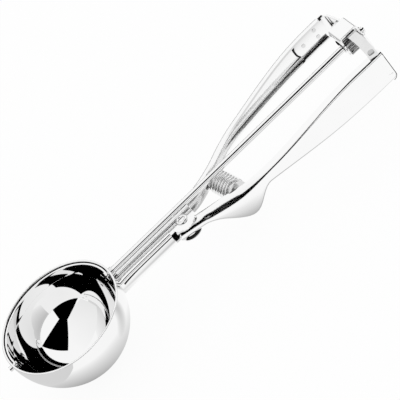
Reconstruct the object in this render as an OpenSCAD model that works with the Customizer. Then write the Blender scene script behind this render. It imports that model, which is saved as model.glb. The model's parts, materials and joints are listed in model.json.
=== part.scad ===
// Squeeze-handle ice cream scoop with a geared scraper blade.
// Working frame: the scraper rod lies along X at y = 0, z = 0, and the bowl centre is x = 0.
// place() then moves everything so that the lowest point of the bowl is z = 0 and the
// middle of the length is x = 0. Z points out of the bowl mouth, +Y is the fixed handle.

/* [Bowl] */
// outside radius of the bowl
bowl_r = 29; // [26:0.5:32]
// wall of the bowl
bowl_wall = 1; // [0.8:0.1:1.4]
// height of the mouth above the scraper rod axis
bowl_lip = 2.5; // [2.2:0.1:3.5]

/* [Scraper] */
// diameter of the scraper rod
rod_d = 3.2; // [2.8:0.2:3.6]
// width of the scraper blade
blade_w = 5.2; // [4.4:0.2:6.4]
// thickness of the scraper blade
blade_t = 0.8; // [0.6:0.1:1]
// gap between the blade and the inside of the bowl
blade_gap = 0.4; // [0.3:0.05:0.6]
// angle of the resting blade below the mouth plane
blade_rest_deg = 2; // [1:1:6]

/* [Neck] */
// distance from the bowl centre to the open end of the lower neck shell
shell_end_x = 58; // [52:1:60]
// half width of the neck
neck_half_w = 6; // [5.5:0.5:7]
// sheet thickness of neck and handles
sheet_t = 1; // [0.8:0.1:1.2]
// gap between the scraper rod and the neck plate under it
rod_over_plate = 0.8; // [0.6:0.1:1.2]

/* [Lever pivot] */
// distance from the bowl centre to the lever pivot
pivot_x = 66; // [64:0.5:70]
// sideways distance of the pivot from the rod axis
pivot_off = 4.5; // [4:0.1:5]
// diameter of the pivot rivet shank
rivet_d = 3.4; // [3:0.2:4]
// diameter of the rolled head of the pivot rivet
rivet_head_d = 5.8; // [5.4:0.2:6]
// radius of the upper ear around the rivet
ear_top_r = 6.6; // [6:0.2:7]
// radius of the lower ear around the rivet
ear_low_r = 5.7; // [5.2:0.1:6]
// overall height of the pivot fork
fork_h = 7.8; // [7.4:0.1:9]

/* [Handles] */
// distance from the bowl centre to the end of the lever
lever_end_x = 174.5; // [174:0.5:176]
// distance from the rod axis to the outside of each handle at its end
arm_spread = 24; // [22:0.5:26]
// plan radius of the long outward curve of both handles
arm_sweep_r = 380; // [340:10:440]
// plan radius of the short shoulder curve of the fixed handle
shoulder_r = 50; // [44:1:56]
// steepest plan angle of the fixed handle
shoulder_deg = 30; // [27:1:33]
// width of the turned-in edges of the handles
flange_w = 4; // [3:0.2:4.6]
// height of the fixed handle behind the pivot
fixed_waist_h = 5.8; // [5.4:0.2:7]
// height of the fixed handle at its end
fixed_end_h = 12.4; // [11:0.2:13.6]
// height of the lever at its end
lever_end_h = 16.4; // [15:0.2:18]
// how far the finger guard reaches below the lever
guard_drop = 9.5; // [6:0.5:11]
// distance from the bowl centre to the tip of the finger guard
guard_x = 91; // [89:0.5:93]

/* [Return spring] */
// outside diameter of the return spring
spring_od = 10.8; // [10:0.2:11]
// wire diameter of the return spring
spring_wire_d = 1.2; // [1:0.1:1.4]
// number of turns of the return spring
spring_turns = 4; // [4:1:6]

/* [Gearing] */
// module of the pinion and rack teeth
gear_module = 0.7; // [0.7:0.05:0.75]
// number of pinion teeth
pinion_teeth = 12; // [12:1:13]
// length of the pinion
pinion_l = 7.2; // [6.4:0.2:7.4]
// width of the rack
rack_w = 4.4; // [3.6:0.2:4.8]
// free play of the teeth, measured along the pitch line
tooth_play = 0.3; // [0.3:0.05:0.45]

/* [Fits] */
// radial clearance of the turning fits
run_gap = 0.05; // [0.03:0.01:0.08]
// gap between seated pieces
seat_gap = 0.1; // [0.05:0.05:0.15]
// side clearance of pieces that move past each other
slide_gap = 0.3; // [0.25:0.05:0.35]

/* [Hidden] */
$fn = 96;
eps = 0.01;
past = 1;
tall = 80;
arc_steps = 16;
steel = [0.80, 0.81, 0.83];
bright = [0.88, 0.89, 0.90];
gearc = [0.72, 0.73, 0.75];
rod_r = rod_d / 2;

// front pin, rod ends and overall shift
front_pin_r = 1.2;
front_pin_out = 1.6;
front_pin_in = 1.4;
rear_wall_x = 175.8;
rear_tail = 2.4;
rod_end_x = rear_wall_x + sheet_t + rear_tail;
x_min = -(bowl_r + front_pin_out);
shift_x = -(x_min + rod_end_x) / 2;
shift_z = bowl_r;

// neck heights, measured from the rod axis
plate_z = -(rod_r + rod_over_plate);
plate_low = plate_z - sheet_t;
fork_low = plate_z - fork_h;
lip_down = 0.6;
seam_z = plate_low - lip_down;
seam_gap = 0.15;
shell_drop = 2.3;
shell_cz = seam_z - shell_drop;
shell_r = neck_half_w;
neck_corner_r = 1.2;
shell_inset = 0.4;

// pivot
pivot_y = -pivot_off;
rivet_r = rivet_d / 2;
rivet_head_r = rivet_head_d / 2;
rivet_head_h = 0.9;
rivet_dimple_r = 1.3;
rivet_dimple_h = 0.6;
lever_ear_r = 5;
ear_slack = 0.2;
lever_ear_top = plate_low - ear_slack;
lever_ear_low = fork_low + sheet_t + ear_slack;
sleeve_r = 3;

// handle outlines
arm_x0 = shell_end_x + seat_gap;
nose_x = shell_end_x + 2;
fixed_end_x = 172.4;
join_x = 112;
arc_end_x = 170;
psi = asin((arc_end_x - join_x) / arm_sweep_r);
join_y = arm_spread - arm_sweep_r * (1 - cos(psi));
web_y = neck_half_w - shell_inset;
sh_x0 = join_x - shoulder_r * (sin(shoulder_deg) - sin(psi));
sh_y0 = join_y - shoulder_r * (cos(psi) - cos(shoulder_deg));
flare_r = (sh_y0 - web_y) / (1 - cos(shoulder_deg));
flare_x0 = sh_x0 - flare_r * sin(shoulder_deg);
lever_line_deg = 14.3;
lever_line_x = arc_end_x - arm_sweep_r * sin(lever_line_deg);
lever_line_y = arm_spread - arm_sweep_r * (1 - cos(lever_line_deg));
arm_step = 2.4;
end_top_z = 4.3;
rise_x0 = 94;
rise_x1 = 160;
waist_x0 = ceil(pivot_x + ear_top_r);
waist_x1 = 90;
dip_x0 = pivot_x + 3;
dip_x1 = 81;
lever_dip = 1.6;
lever_back_h = 7;
lever_back_x = 104;
rise_lead = 4;
lever_drop_end = 10;
guard_lead = 13;
guard_trail = 14;
guard_root_x0 = pivot_x + ear_low_r - seat_gap;
guard_root_back = 7;
guard_root_share = 0.4;
tail_r = 2.5;

// smooth step from 0 to 1 between a and b
function ease(x, a, b) = x <= a ? 0 : x >= b ? 1 : (1 - cos(180 * (x - a) / (b - a))) / 2;

// outer face of the fixed handle in plan
function fixed_y(x) =
    x <= flare_x0 ? web_y :
    x <= sh_x0 ? web_y + flare_r - sqrt(flare_r * flare_r - pow(x - flare_x0, 2)) :
    x <= join_x ? join_y - shoulder_r * cos(psi)
        + sqrt(shoulder_r * shoulder_r - pow(x - join_x - shoulder_r * sin(psi), 2)) :
    x <= arc_end_x ? arm_spread - arm_sweep_r + sqrt(pow(arm_sweep_r, 2) - pow(arc_end_x - x, 2)) :
    arm_spread;

// outer face of the lever in plan, as a distance to the -Y side
function lever_y(x) =
    x <= lever_line_x ? lever_line_y - (lever_line_x - x) * tan(lever_line_deg) :
    x <= arc_end_x ? arm_spread - arm_sweep_r + sqrt(pow(arm_sweep_r, 2) - pow(arc_end_x - x, 2)) :
    arm_spread;

// top and bottom edges of the two handles
function fixed_top(x) = plate_z + (end_top_z - plate_z) * ease(x, rise_x0, rise_x1);
function fixed_low(x) =
    fork_low + (plate_z - fixed_waist_h - fork_low) * ease(x, waist_x0, waist_x1)
    + (end_top_z - fixed_end_h - plate_z + fixed_waist_h) * ease(x, rise_x0, rise_x1);
function lever_top(x) =
    lever_ear_top - lever_dip * ease(x, dip_x0, dip_x1)
    + (end_top_z - lever_ear_top + lever_dip) * ease(x, rise_x0 - rise_lead, rise_x1);
lever_back_z = lever_ear_top - lever_back_h;
function guard(x) =
    x < guard_x ? guard_root_share * ease(x, guard_root_x0, guard_x - guard_root_back)
        + (1 - guard_root_share) * ease(x, guard_x - guard_lead, guard_x) :
    1 - ease(x, guard_x, guard_x + guard_trail);
function lever_low(x) =
    lever_ear_low + (lever_back_z - lever_ear_low) * ease(x, guard_root_x0, guard_x)
    - guard_drop * guard(x)
    + (end_top_z - lever_end_h - lever_back_z) * ease(x, lever_back_x, rise_x1 - lever_drop_end);

// unit normal of a plan curve given by two close points
function nrm(dx, dy) = [-dy, dx] / sqrt(dx * dx + dy * dy);

// stations along the handles
function stations(a, b) = let (n = ceil((b - a) / arm_step)) [for (i = [0 : n]) a + (b - a) * i / n];

// band between two depths under the outer face, in plan
function fixed_pt(x, d) = [x, fixed_y(x)] - d * nrm(eps, fixed_y(x + eps) - fixed_y(x));
function lever_pt(x, d) = let (p = [x, lever_y(x)] - d * nrm(eps, lever_y(x + eps) - lever_y(x))) [p[0], -p[1]];
module fixed_band(a, b, d0, d1) {
    s = stations(a, b);
    polygon(concat([for (x = s) fixed_pt(x, d0)], [for (x = flip(s)) fixed_pt(x, d1)]));
}
module lever_band(a, b, d0, d1) {
    s = stations(a, b);
    polygon(concat([for (x = s) lever_pt(x, d0)], [for (x = flip(s)) lever_pt(x, d1)]));
}

// side outlines, drawn in X and Z and pushed out along Y
module fixed_side(a, b, inset) {
    s = stations(a, b);
    rotate([90, 0, 0])
        linear_extrude(tall, center = true)
            polygon(concat(
                [for (x = s) [x, fixed_top(x) - inset]],
                [for (x = flip(s)) [x, fixed_low(x) + inset]]));
}
module lever_side(a, b, inset) {
    s = stations(a, b);
    rotate([90, 0, 0])
        linear_extrude(tall, center = true)
            polygon(concat(
                [for (x = s) [x, lever_top(x) - inset]],
                [for (x = flip(s)) [x, lever_low(x) + inset]]));
}

module place() {
    translate([shift_x, 0, shift_z])
        children();
}

// solid inside of a bowl-shaped outline of radius r
module bowl_form(r, top) {
    sphere(r);
    cylinder(h = top, r = r);
}

module along_x(x, l, r) {
    translate([x, 0, 0])
        rotate([0, 90, 0])
            cylinder(h = l, r = r);
}

module bowl() {
    color(bright)
        place()
            difference() {
                intersection() {
                    bowl_form(bowl_r, bowl_lip);
                    translate([0, 0, bowl_lip - tall])
                        cylinder(h = tall, r = tall);
                }
                bowl_form(bowl_r - bowl_wall, bowl_lip + bowl_wall);
                along_x(0, tall, bush_r + eps);
                along_x(-tall, tall, front_pin_r + eps);
            }
}

// bush in the rear wall of the bowl
bush_r = rod_r + 0.6;
bush_in = 0.1;
bush_out = 1.2;
module rod_bush() {
    color(gearc)
        place()
            difference() {
                along_x(bowl_r - bowl_wall - bush_in, bush_in + bowl_wall + bush_out, bush_r);
                along_x(0, tall, rod_r + run_gap);
            }
}

// pin that carries the front end of the blade
module front_pin() {
    color(steel)
        place()
            along_x(-bowl_r - front_pin_out, front_pin_out + bowl_wall + front_pin_in + blade_gap, front_pin_r);
}

// lower half of the neck, a trough closed by the bowl in front and open behind
module neck_shell() {
    color(steel)
        place()
            difference() {
                union() {
                    translate([0, 0, shell_cz])
                        along_x(0, shell_end_x, shell_r);
                    translate([0, -shell_r, shell_cz])
                        cube([shell_end_x, 2 * shell_r, seam_z - seam_gap - shell_cz]);
                }
                translate([0, 0, shell_cz])
                    along_x(-past, shell_end_x + 2 * past, shell_r - sheet_t);
                translate([-past, -shell_r + sheet_t, shell_cz])
                    cube([shell_end_x + 2 * past, 2 * (shell_r - sheet_t), tall]);
                translate([-past, -tall / 2, seam_z - seam_gap])
                    cube([tall, tall, tall]);
                bowl_form(bowl_r + seat_gap, tall);
            }
}

// rounded neck section in Y and Z, pushed along X
module neck_section(a, b, w, top, low) {
    translate([a, 0, 0])
        rotate([90, 0, 90])
            linear_extrude(b - a) {
                translate([-w, low])
                    square([2 * w, top - low - neck_corner_r]);
                translate([-w + neck_corner_r, low])
                    square([2 * (w - neck_corner_r), top - low]);
                for (s = [-1, 1])
                    translate([s * (w - neck_corner_r), top - neck_corner_r])
                        circle(neck_corner_r);
            }
}

module fixed_handle() {
    color(bright)
        place()
            difference() {
                union() {
                    // neck plate with its turned-down lips
                    difference() {
                        neck_section(0, arm_x0 + eps, neck_half_w, plate_z, seam_z);
                        translate([-past, -neck_half_w + sheet_t, seam_z - past])
                            cube([tall, 2 * (neck_half_w - sheet_t), plate_low - seam_z + past]);
                        translate([-past, -tall / 2, seam_z - tall])
                            cube([tall, tall, tall]);
                    }
                    // ears of the pivot fork
                    fork_plate(plate_low, ear_top_r, -neck_half_w);
                    fork_plate(fork_low, ear_low_r, pivot_y);
                    // web and turned-in edges of the arm
                    intersection() {
                        linear_extrude(2 * tall, center = true)
                            fixed_band(arm_x0, fixed_end_x, 0, sheet_t);
                        fixed_side(arm_x0, fixed_end_x, 0);
                    }
                    intersection() {
                        linear_extrude(2 * tall, center = true)
                            fixed_band(arm_x0, fixed_end_x - flange_back, 0, flange_w);
                        difference() {
                            fixed_side(arm_x0, fixed_end_x, 0);
                            fixed_side(arm_x0 - past, fixed_end_x + past, sheet_t);
                        }
                    }
                }
                bowl_form(bowl_r + seat_gap, tall);
                translate([pivot_x, pivot_y, fork_low - past])
                    cylinder(h = fork_h + 2 * past, r = rivet_r + eps);
            }
}
flange_back = 3.4;

// one ear of the fork, joined to the web
module fork_plate(z, r, y0) {
    translate([0, 0, z]) {
        translate([pivot_x, pivot_y, 0])
            cylinder(h = sheet_t, r = r);
        translate([arm_x0, y0, 0])
            cube([pivot_x - arm_x0, web_y - y0 - sheet_t / 2, sheet_t]);
        translate([pivot_x, pivot_y, 0])
            cube([r, web_y - pivot_y - sheet_t / 2, sheet_t]);
    }
}

module lever_handle() {
    color(bright)
        place()
            difference() {
                union() {
                    intersection() {
                        linear_extrude(2 * tall, center = true)
                            lever_band(nose_x - past, lever_end_x + past, 0, sheet_t);
                        lever_outline(0);
                    }
                    intersection() {
                        linear_extrude(2 * tall, center = true)
                            lever_band(nose_x - past, lever_end_x + past, 0, flange_w);
                        difference() {
                            lever_outline(0);
                            lever_side(nose_x - past, lever_end_x - sheet_t, sheet_t);
                        }
                    }
                    for (z = [lever_ear_top - sheet_t, lever_ear_low])
                        translate([pivot_x, pivot_y, z])
                            cylinder(h = sheet_t, r = lever_ear_r);
                }
                translate([pivot_x, pivot_y, fork_low - past])
                    cylinder(h = fork_h + 2 * past, r = rivet_r + run_gap);
                rack_rivet_at()
                    cylinder(h = tall, r = rack_rivet_r);
            }
}

// lever side outline with a rounded lower rear corner
module lever_outline(inset) {
    difference() {
        lever_side(nose_x, lever_end_x, inset);
        translate([lever_end_x - tail_r, 0, lever_low(lever_end_x) + tail_r])
            rotate([90, 0, 0])
                linear_extrude(tall, center = true)
                    difference() {
                        translate([0, -2 * tail_r])
                            square(2 * tail_r);
                        circle(tail_r);
                    }
    }
}

module pivot_rivet() {
    color(steel)
        place()
            translate([pivot_x, pivot_y, 0])
                difference() {
                    union() {
                        translate([0, 0, fork_low - rivet_head_h])
                            cylinder(h = fork_h + 2 * rivet_head_h, r = rivet_r);
                        translate([0, 0, plate_z])
                            rivet_head();
                        translate([0, 0, fork_low])
                            mirror([0, 0, 1])
                                rivet_head();
                    }
                    translate([0, 0, plate_z + rivet_head_h - rivet_dimple_h])
                        cylinder(h = rivet_head_h, r = rivet_dimple_r);
                }
}

// low domed head
module rivet_head() {
    dome_r = (pow(rivet_head_r, 2) + pow(rivet_head_h, 2)) / (2 * rivet_head_h);
    intersection() {
        translate([0, 0, rivet_head_h - dome_r])
            sphere(dome_r);
        cylinder(h = rivet_head_h, r = rivet_head_r);
    }
}

module pivot_sleeve() {
    color(gearc)
        place()
            translate([pivot_x, pivot_y, lever_ear_low + sheet_t])
                difference() {
                    cylinder(h = lever_ear_top - lever_ear_low - 2 * sheet_t, r = sleeve_r);
                    translate([0, 0, -past])
                        cylinder(h = fork_h, r = rivet_r + run_gap);
                }
}

// return spring between two seats
spring_r = (spring_od - spring_wire_d) / 2;
spring_z = -8.4;
spring_far = [89.4, 3.8];
spring_near = [91.4, -9.3];
spring_len = norm(spring_near - spring_far);
spring_yaw = atan2(spring_near[1] - spring_far[1], spring_near[0] - spring_far[0]);
seat_disc_r = spring_r + 0.2;
seat_disc_t = 0.8;
seat_nose_r = spring_r - spring_wire_d / 2 - 0.5;
seat_nose_l = 1.6;
seat_stem_r = 1.9;
seat_reach = 12;
lug_w = 4;
lug_h = 2.4;
lug_low_z = fixed_low(spring_far[0]) + sheet_t + seat_gap;
coil_end_gap = 0.05;
coil_rise = (spring_len - spring_wire_d - 2 * coil_end_gap) / spring_turns;
coil_tilt = atan2(coil_rise, 2 * spring_r);
coil_lean_r = norm([spring_r, coil_rise / 2]);

// frame on the spring axis: Z from the far seat to the near seat, X straight down
module on_spring() {
    translate([spring_far[0], spring_far[1], spring_z])
        rotate([0, 90, spring_yaw])
            children();
}

// each turn is a flat half and a leaning half
module return_spring() {
    color(steel)
        place()
            on_spring()
                for (i = [0 : spring_turns - 1])
                    translate([0, 0, coil_end_gap + spring_wire_d / 2 + i * coil_rise]) {
                        half_ring(spring_r, spring_wire_d / 2);
                        translate([0, 0, coil_rise / 2])
                            rotate([0, -coil_tilt, 0])
                                rotate([0, 0, 180])
                                    half_ring(coil_lean_r, spring_wire_d / 2 - eps);
                    }
}
module half_ring(r, w) {
    rotate_extrude(angle = 180)
        translate([r, 0])
            circle(w);
}

// seat disc with a nose inside the coil
module seat_disc() {
    translate([0, 0, -seat_disc_t])
        cylinder(h = seat_disc_t, r = seat_disc_r);
    cylinder(h = seat_nose_l, r = seat_nose_r);
}

// seat on the fixed handle, held by a lug between the turned-in edges
module spring_seat_fixed() {
    color(steel)
        place()
            difference() {
                on_spring() {
                    seat_disc();
                    translate([spring_z - lug_low_z - lug_h, -lug_w / 2, -seat_reach])
                        cube([lug_h, lug_w, seat_reach]);
                }
                linear_extrude(2 * tall, center = true)
                    fixed_band(shell_end_x, fixed_end_x, -tall / 4, sheet_t);
            }
}

// seat on the lever, held by a round stem
module spring_seat_lever() {
    color(steel)
        place()
            difference() {
                on_spring()
                    translate([0, 0, spring_len]) {
                        mirror([0, 0, 1])
                            seat_disc();
                        cylinder(h = seat_reach, r = seat_stem_r);
                    }
                linear_extrude(2 * tall, center = true)
                    lever_band(nose_x, lever_end_x, -tall / 4, sheet_t);
            }
}

// gearing
pitch_r = gear_module * pinion_teeth / 2;
addendum = gear_module;
dedendum = 1.25 * gear_module;
tooth_pitch = PI * gear_module;
rack_gap_x = 1;
wall_r = sqrt(pow(rear_wall_x - pivot_x, 2) + pow(pivot_y, 2));
rack_r1 = wall_r - rack_gap_x;
rack_r0 = rack_r1 - rack_w;
mesh_r = (rack_r0 + rack_r1) / 2;
mesh_deg = asin(-pivot_y / mesh_r);
tooth_deg = tooth_pitch / mesh_r * 180 / PI;
rack_t = 1.1;
rack_root_z = pitch_r + dedendum;
rack_top_z = rack_root_z + rack_t;
rack_tip = 0.75 * gear_module;
rack_teeth_back = 2;
rack_teeth_front = 8;
pinion_x1 = rear_wall_x - 2 * slide_gap;
pinion_x0 = pinion_x1 - pinion_l;
press_deg = 20;
ear_x1 = pinion_x0 - slide_gap;
ear_x0 = ear_x1 - sheet_t;

// scraper motion: rack pitch travel per lever angle
gear_ratio = mesh_r / pitch_r;
sweep_deg = 180 - 2 * blade_rest_deg;
lever_deg = sweep_deg / gear_ratio;

// involute flank point at radius r, tooth centred on angle 0
base_r = pitch_r * cos(press_deg);
function inv(a) = tan(a) * 180 / PI - a;
half_tooth = 90 / pinion_teeth - (tooth_play / 2) / pitch_r * 90 / PI;
function flank(r) = half_tooth + inv(press_deg) - (r > base_r ? inv(acos(base_r / r)) : 0);
flank_steps = 5;
root_r = pitch_r - dedendum;
tip_r = pitch_r + addendum;
function flank_r(i) = root_r + (tip_r - root_r) * i / flank_steps;
undercut_deg = 4;
function root_trim(r) = r < base_r ? undercut_deg * (base_r - r) / (base_r - root_r) : 0;
module pinion_outline() {
    polygon([for (k = [0 : pinion_teeth - 1]) for (i = [0 : 2 * flank_steps + 1])
        let (up = i <= flank_steps, r = flank_r(up ? i : 2 * flank_steps + 1 - i),
             a = 360 * k / pinion_teeth + (up ? -1 : 1) * (flank(r) - root_trim(r)))
        [r * cos(a), r * sin(a)]]);
}

module pinion() {
    color(gearc)
        place()
            difference() {
                translate([pinion_x0, 0, 0])
                    rotate([0, 90, 0])
                        rotate([0, 0, 180 + 180 / pinion_teeth])
                            linear_extrude(pinion_l)
                                pinion_outline();
                along_x(0, 2 * rod_end_x, rod_r + eps);
                pin_hole(pinion_pin_r + eps);
            }
}
pinion_pin_r = 0.6;
pin_short = 0.3;
module pin_hole(r) {
    translate([pinion_x0 + pinion_l / 4, 0, 0])
        rotate([90, 0, 0])
            cylinder(h = 2 * root_r - pin_short, r = r, center = true);
}
module pinion_pin() {
    color(steel)
        place()
            pin_hole(pinion_pin_r);
}

// curved rack above the pinion, fixed on the turned-in edge of the lever
rack_pad_deg = asin((lever_y(lever_end_x) - flange_w - pivot_off) / mesh_r);
rack_tail_deg = asin((lever_y(lever_end_x) - sheet_t - pivot_off) / mesh_r);
pad_lead_deg = 0.2;
rack_end_teeth = rack_teeth_back + 0.4;
pad_z = end_top_z;
tooth_inset = 0.2;
tooth_sink = 0.1;
module rack() {
    color(gearc)
        place()
            difference() {
                union() {
                    rack_sector(-rack_tail_deg, mesh_deg + rack_end_teeth * tooth_deg, rack_root_z, rack_top_z);
                    rack_sector(-rack_tail_deg, -rack_pad_deg + pad_lead_deg, pad_z, rack_top_z);
                    for (k = [-rack_teeth_front : rack_teeth_back])
                        rack_tooth(mesh_deg + k * tooth_deg);
                }
                rack_rivet_at()
                    translate([0, 0, pad_z - tall / 2])
                        cylinder(h = tall, r = rack_rivet_r + eps);
            }
}
module rack_sector(a0, a1, z0, z1) {
    translate([0, 0, z0])
        linear_extrude(z1 - z0)
            pivot_band(a0, a1, rack_r0, rack_r1);
}
module rack_tooth(a) {
    half = tooth_pitch / 4 - tooth_play / 4;
    lean = tan(press_deg);
    root = dedendum + tooth_sink;
    translate([pivot_x, pivot_y, 0])
        rotate([0, 0, a])
            translate([mesh_r, 0, pitch_r])
                rotate([90, 0, 90 - mesh_deg])
                    linear_extrude(rack_w - 2 * tooth_inset, center = true)
                        polygon([
                            [-half - lean * root, root],
                            [-half + lean * rack_tip, -rack_tip],
                            [half - lean * rack_tip, -rack_tip],
                            [half + lean * root, root]]);
}
rack_rivet_r = 0.9;
rack_rivet_head_r = 1.5;
rack_rivet_head_h = 0.6;
module rack_rivet_at() {
    a = (rack_pad_deg + rack_tail_deg) / 2;
    translate([pivot_x, pivot_y, 0])
        rotate([0, 0, -a])
            translate([mesh_r, 0, 0])
                children();
}
module rack_rivet() {
    color(steel)
        place()
            rack_rivet_at() {
                translate([0, 0, pad_z - sheet_t - rack_rivet_head_h])
                    cylinder(h = rack_top_z - pad_z + sheet_t + 2 * rack_rivet_head_h, r = rack_rivet_r - eps);
                translate([0, 0, rack_top_z])
                    cylinder(h = rack_rivet_head_h, r = rack_rivet_head_r);
                translate([0, 0, pad_z - sheet_t - rack_rivet_head_h])
                    cylinder(h = rack_rivet_head_h, r = rack_rivet_head_r);
            }
}

// bracket that bridges from the fixed handle to the rod: weld plate, corner, rear wall, cage
bracket_t = sheet_t;
plate_x0 = 153;
bracket_top_z = end_top_z - sheet_t - slide_gap;
bracket_low_z = end_top_z - fixed_end_h + sheet_t + 0.6;
plate_corner_r = 3.4;
wall_out_r = wall_r + bracket_t;
corner_r = 4.5;
plate_in = sheet_t + seat_gap / 2;
web_in_y = arm_spread - plate_in;
corner_y = web_in_y - corner_r;
corner_x = pivot_x + sqrt(pow(wall_out_r - corner_r, 2) - pow(corner_y - pivot_y, 2));
corner_deg = atan2(corner_y - pivot_y, corner_x - pivot_x);
wall_low_y = -6.5;
wall_low_deg = asin((wall_low_y - pivot_y) / wall_out_r);
cage_z0 = rack_top_z + slide_gap;
cage_z1 = cage_z0 + bracket_t;
cage_y0 = -3.2;
cage_y1 = 6.4;
cage_ear_r = 4.9;
bore_r = rod_r + 0.7;

function arc_points(r, a0, a1) =
    [for (i = [0 : arc_steps]) let (a = a0 + (a1 - a0) * i / arc_steps) r * [cos(a), sin(a)]];
function flip(v) = [for (i = [len(v) - 1 : -1 : 0]) v[i]];

// sector band around the pivot
module pivot_band(a0, a1, r0, r1) {
    translate([pivot_x, pivot_y])
        polygon(concat(arc_points(r1, a0, a1), arc_points(r0, a1, a0)));
}

// plan line of the bracket at a depth under its outer face: plate, corner, rear wall
function corner_deg_at(i) = 90 + (corner_deg - 90) * i / arc_steps;
function bracket_line(d) = concat(
    [for (x = stations(plate_x0, corner_x)) [x, fixed_y(x) - plate_in - d]],
    [for (i = [1 : arc_steps - 1]) let (a = corner_deg_at(i))
        [corner_x + (corner_r - d) * cos(a), corner_y + (corner_r - d) * sin(a)]],
    [for (p = arc_points(wall_out_r - d, corner_deg, wall_low_deg)) p + [pivot_x, pivot_y]]);
module bracket_plan() {
    polygon(concat(bracket_line(0), flip(bracket_line(bracket_t))));
}

// the part of the plan that the rack passes under
module cage_strip() {
    intersection() {
        children();
        translate([ear_x0, cage_y0])
            square([tall, cage_y1 - cage_y0]);
    }
}
module end_bracket() {
    color(bright)
        place()
            difference() {
                union() {
                    // weld plate with rounded front corners, bent into the rear wall
                    intersection() {
                        linear_extrude(2 * tall, center = true)
                            bracket_plan();
                        rotate([90, 0, 0])
                            linear_extrude(tall, center = true)
                                bracket_side();
                    }
                    // raised middle of the wall and the plate over the rack
                    translate([0, 0, bracket_low_z])
                        linear_extrude(cage_z1 - bracket_low_z)
                            cage_strip()
                                bracket_plan();
                    translate([0, 0, cage_z0])
                        linear_extrude(bracket_t)
                            cage_strip()
                                translate([pivot_x, pivot_y])
                                    polygon(concat([[0, 0]], arc_points(wall_out_r, corner_deg, wall_low_deg)));
                    // front ear with its rounded end around the rod
                    along_x(ear_x0, bracket_t, cage_ear_r);
                    translate([ear_x0, cage_y0, 0])
                        cube([bracket_t, cage_ear_r - cage_y0, cage_z1]);
                }
                along_x(ear_x0 - past, rod_end_x, bore_r + eps);
                for (p = weld_spots)
                    weld_at(p)
                        translate([0, 0, -2 * bracket_t])
                            cylinder(h = 4 * bracket_t, r = weld_r);
            }
}
module bracket_side() {
    translate([plate_x0 + plate_corner_r, bracket_low_z])
        square([tall, bracket_top_z - bracket_low_z]);
    translate([plate_x0, bracket_low_z + plate_corner_r])
        square([2 * plate_corner_r, bracket_top_z - bracket_low_z - 2 * plate_corner_r]);
    for (z = [bracket_low_z + plate_corner_r, bracket_top_z - plate_corner_r])
        translate([plate_x0 + plate_corner_r, z])
            circle(plate_corner_r);
}

// spot welds that hold the bracket, given as distance along and height
weld_r = 1;
weld_rise = 0.15;
weld_front = 4.6;
weld_rear = 12.4;
weld_edge = 2.6;
weld_spots = [
    [plate_x0 + weld_front, (bracket_top_z + bracket_low_z) / 2],
    [plate_x0 + weld_rear, bracket_top_z - weld_edge],
    [plate_x0 + weld_rear, bracket_low_z + weld_edge]];
module weld_at(p) {
    translate([p[0], fixed_y(p[0]) - plate_in - bracket_t, p[1]])
        rotate([90, 0, 0])
            children();
}
module bracket_welds() {
    color(gearc)
        place()
            for (p = weld_spots)
                weld_at(p)
                    translate([0, 0, -bracket_t])
                        cylinder(h = bracket_t + weld_rise, r = weld_r - eps);
}

// bushes in the front ear and the rear wall of the bracket
module bracket_bushes() {
    color(gearc)
        place() {
            bush(ear_x0 - slide_gap / 2, bracket_t + slide_gap);
            bush(rear_wall_x - slide_gap / 2, bracket_t + slide_gap);
        }
}
module bush(x, l) {
    difference() {
        along_x(x, l, bore_r);
        along_x(x - past, l + 2 * past, rod_r + run_gap);
    }
}

// rod from the blade to the tail behind the bracket, with a grip ring groove
ring_x = rear_wall_x + sheet_t + slide_gap / 2 + 0.2;
ring_t = 0.7;
ring_r = rod_r + 0.8;
ring_slit = 0.8;
groove_r = rod_r - 0.35;
rod_head_r = rod_r + 0.7;
rod_head_l = 0.8;
head_play = 0.02;
blade_out_r = bowl_r - bowl_wall - blade_gap;
blade_in_r = blade_out_r - blade_t;
head_back_x = sqrt(pow(blade_in_r, 2) - pow(rod_head_r, 2)) - head_play;
neck_r = 1.1;
module scraper_rod() {
    color(bright)
        place()
            difference() {
                union() {
                    along_x(blade_out_r, rod_end_x - blade_out_r, rod_r);
                    along_x(head_back_x - rod_head_l, blade_out_r - head_back_x + rod_head_l + eps, neck_r);
                    along_x(head_back_x - rod_head_l, rod_head_l, rod_head_r);
                }
                difference() {
                    along_x(ring_x - eps, ring_t + 2 * eps, tall);
                    along_x(ring_x - past, ring_t + 2 * past, groove_r);
                }
                pin_hole(pinion_pin_r + eps);
            }
}
module rod_ring() {
    color(gearc)
        place()
            difference() {
                along_x(ring_x, ring_t, ring_r);
                along_x(ring_x - past, ring_t + 2 * past, groove_r + eps);
                translate([ring_x - past, -ring_slit / 2, 0])
                    cube([ring_t + 2 * past, ring_slit, tall]);
            }
}

// half ring blade that follows the inside of the bowl, with an eye at each end
module scraper_blade() {
    color(bright)
        place()
            rotate([-blade_rest_deg, 0, 0])
                difference() {
                    intersection() {
                        sphere(blade_out_r);
                        union() {
                            translate([-tall / 2, 0, -blade_w / 2])
                                cube([tall, tall, blade_w]);
                            along_x(-tall / 2, tall, blade_w / 2);
                        }
                    }
                    sphere(blade_in_r);
                    along_x(0, tall, neck_r + eps);
                    along_x(-tall, tall, front_pin_r + run_gap);
                }
}

bowl();
rod_bush();
front_pin();
neck_shell();
fixed_handle();
end_bracket();
bracket_welds();
bracket_bushes();
spring_seat_fixed();
pivot_rivet();
return_spring();
lever_handle();
pivot_sleeve();
spring_seat_lever();
rack();
rack_rivet();
scraper_rod();
pinion();
pinion_pin();
rod_ring();
scraper_blade();
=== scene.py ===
import json
import math

import bmesh
import bpy
from mathutils import Matrix, Vector


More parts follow.
